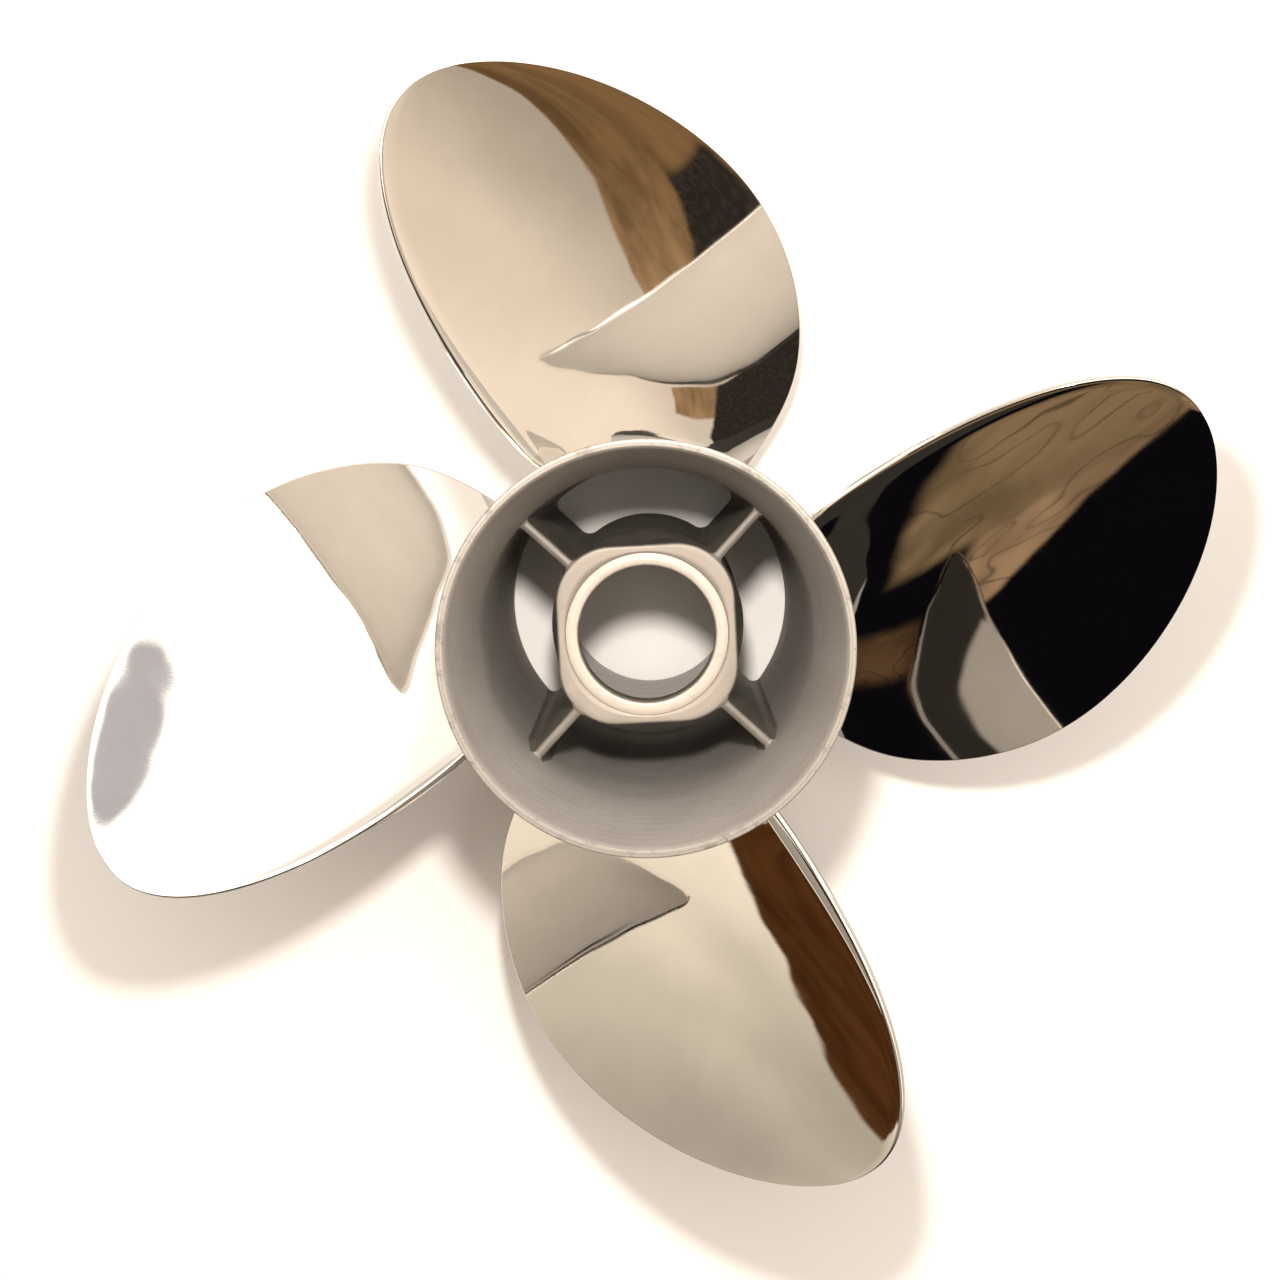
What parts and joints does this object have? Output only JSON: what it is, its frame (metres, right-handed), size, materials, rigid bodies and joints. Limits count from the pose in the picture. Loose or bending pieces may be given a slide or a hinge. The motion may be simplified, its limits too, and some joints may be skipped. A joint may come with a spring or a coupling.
{
  "type": "boat propeller",
  "caption": "Right-handed outboard propeller in polished stainless steel, with wide raked blades on a tubular barrel that lets exhaust out round a ribbed inner hub.",
  "frame": {"origin": "on the shaft axis, in the plane of the barrel's front edge, on which the propeller stands", "axes": "+Z along the shaft axis, aft; +Y along the first blade"},
  "size_m": [0.3164, 0.3164, 0.1529],
  "materials": {
    "barrel": "satin, blasted inside and polished outside",
    "hub_casting": "fine cast and blasted",
    "machined_ring": "turned",
    "blade_polish": "mirror polished bare stainless steel"
  },
  "bodies": {
    "root": {"barrel": "barrel", "inner_hub": "hub_casting", "nut_seat_ring": "machined_ring", "rib_1": "hub_casting", "rib_2": "hub_casting", "rib_3": "hub_casting", "rib_4": "hub_casting", "blade_1": "blade_polish", "blade_2": "blade_polish", "blade_3": "blade_polish", "blade_4": "blade_polish"}
  },
  "joints": []
}
